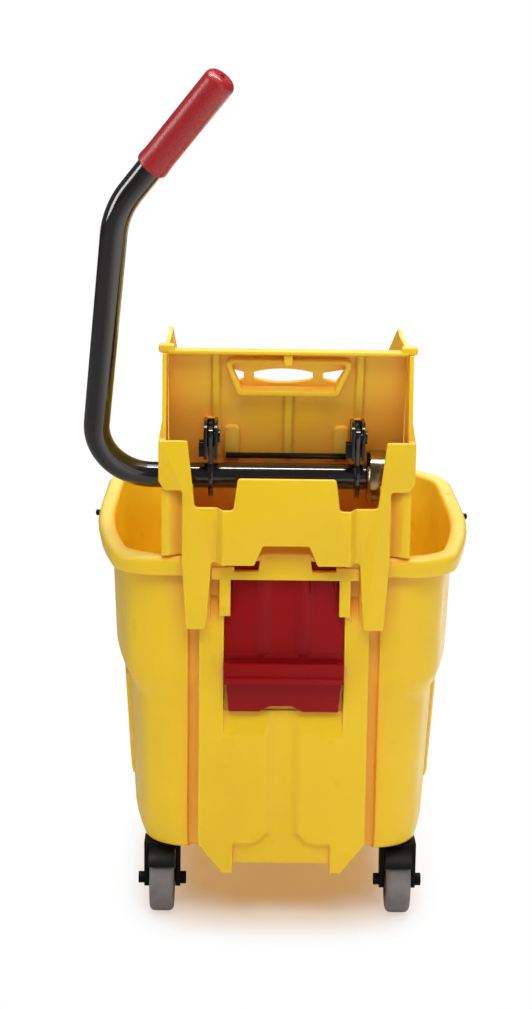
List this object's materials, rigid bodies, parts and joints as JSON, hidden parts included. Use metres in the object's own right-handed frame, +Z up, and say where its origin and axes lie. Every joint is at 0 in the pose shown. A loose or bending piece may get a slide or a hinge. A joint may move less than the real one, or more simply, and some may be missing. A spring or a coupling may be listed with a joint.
{
  "type": "side press mop wringer on a mop bucket",
  "caption": "Mop bucket on swivel casters with a hooked-on side press wringer; a lever on a cross shaft drives its press plate.",
  "frame": {"origin": "on the floor, below the middle of the line between the two rim pegs", "axes": "+X to the right when facing the wringer, +Y from the wringer end to the pouring end, +Z up"},
  "size_m": [0.406, 0.6244, 0.857],
  "materials": {
    "yellow_plastic": "satin",
    "red_plastic": "matte",
    "black_steel": "satin",
    "black_plastic": "matte",
    "natural_plastic": "matte",
    "zinc_steel": "satin",
    "grey_rubber": "matte",
    "grey_plastic": "matte"
  },
  "bodies": {
    "bucket_body": {"bucket": "yellow_plastic", "bucket_panel": "yellow_plastic", "front_insert": "red_plastic", "rim_pegs": "black_plastic", "caster_sockets": "zinc_steel"},
    "swivel_fl": {"caster_fork_fl": "black_plastic", "wheel_axle_fl": "black_steel"},
    "wheel_fl": {"wheel_tyre_fl": "grey_rubber", "wheel_hub_fl": "grey_plastic"},
    "swivel_fr": {"caster_fork_fr": "black_plastic", "wheel_axle_fr": "black_steel"},
    "wheel_fr": {"wheel_tyre_fr": "grey_rubber", "wheel_hub_fr": "grey_plastic"},
    "swivel_rl": {"caster_fork_rl": "black_plastic", "wheel_axle_rl": "black_steel"},
    "wheel_rl": {"wheel_tyre_rl": "grey_rubber", "wheel_hub_rl": "grey_plastic"},
    "swivel_rr": {"caster_fork_rr": "black_plastic", "wheel_axle_rr": "black_steel"},
    "wheel_rr": {"wheel_tyre_rr": "grey_rubber", "wheel_hub_rr": "grey_plastic"},
    "wringer": {"wringer_frame": "yellow_plastic", "wringer_apron": "yellow_plastic", "wringer_floor": "yellow_plastic", "wringer_back": "yellow_plastic", "shaft_bush_left": "natural_plastic", "shaft_bush_right": "natural_plastic"},
    "press": {"press_plate": "yellow_plastic", "hand_frame": "yellow_plastic", "yoke_left": "black_plastic", "yoke_right": "black_plastic", "yoke_screws": "zinc_steel", "tie_rod": "black_steel"},
    "handle": {"handle_tube": "black_steel", "handle_grip": "red_plastic", "crank_left": "black_steel", "crank_right": "black_steel", "crank_pins": "black_steel", "shaft_drum": "black_plastic"}
  },
  "joints": [
    {"name": "swivel_turn_fl", "type": "hinge", "parent": "bucket_body", "child": "swivel_fl", "pos_m": [-0.1215, -0.176, 0.077], "axis": [0, 0, 1], "continuous": true},
    {"name": "wheel_spin_fl", "type": "hinge", "parent": "swivel_fl", "child": "wheel_fl", "pos_m": [-0.1215, -0.193, 0.034], "axis": [1, 0, 0], "continuous": true},
    {"name": "swivel_turn_fr", "type": "hinge", "parent": "bucket_body", "child": "swivel_fr", "pos_m": [0.1215, -0.176, 0.077], "axis": [0, 0, 1], "continuous": true},
    {"name": "wheel_spin_fr", "type": "hinge", "parent": "swivel_fr", "child": "wheel_fr", "pos_m": [0.1215, -0.193, 0.034], "axis": [1, 0, 0], "continuous": true},
    {"name": "swivel_turn_rl", "type": "hinge", "parent": "bucket_body", "child": "swivel_rl", "pos_m": [-0.108, 0.128, 0.077], "axis": [0, 0, 1], "continuous": true},
    {"name": "wheel_spin_rl", "type": "hinge", "parent": "swivel_rl", "child": "wheel_rl", "pos_m": [-0.108, 0.111, 0.034], "axis": [1, 0, 0], "continuous": true},
    {"name": "swivel_turn_rr", "type": "hinge", "parent": "bucket_body", "child": "swivel_rr", "pos_m": [0.108, 0.128, 0.077], "axis": [0, 0, 1], "continuous": true},
    {"name": "wheel_spin_rr", "type": "hinge", "parent": "swivel_rr", "child": "wheel_rr", "pos_m": [0.108, 0.111, 0.034], "axis": [1, 0, 0], "continuous": true},
    {"name": "wringer_lift", "type": "slide", "parent": "bucket_body", "child": "wringer", "axis": [0, 0, 1], "range_m": [0, 0.3]},
    {"name": "handle_swing", "type": "hinge", "parent": "wringer", "child": "handle", "pos_m": [0, -0.205, 0.4615], "axis": [-1, 0, 0], "range_deg": [0, 70]},
    {"name": "press_slide", "type": "slide", "parent": "wringer", "child": "press", "axis": [0, 1, 0], "range_m": [0, 0.0516]}
  ],
  "couplings": [
    {"joint": "press_slide", "follows": "handle_swing", "m_per_rad": 0.042085}
  ]
}
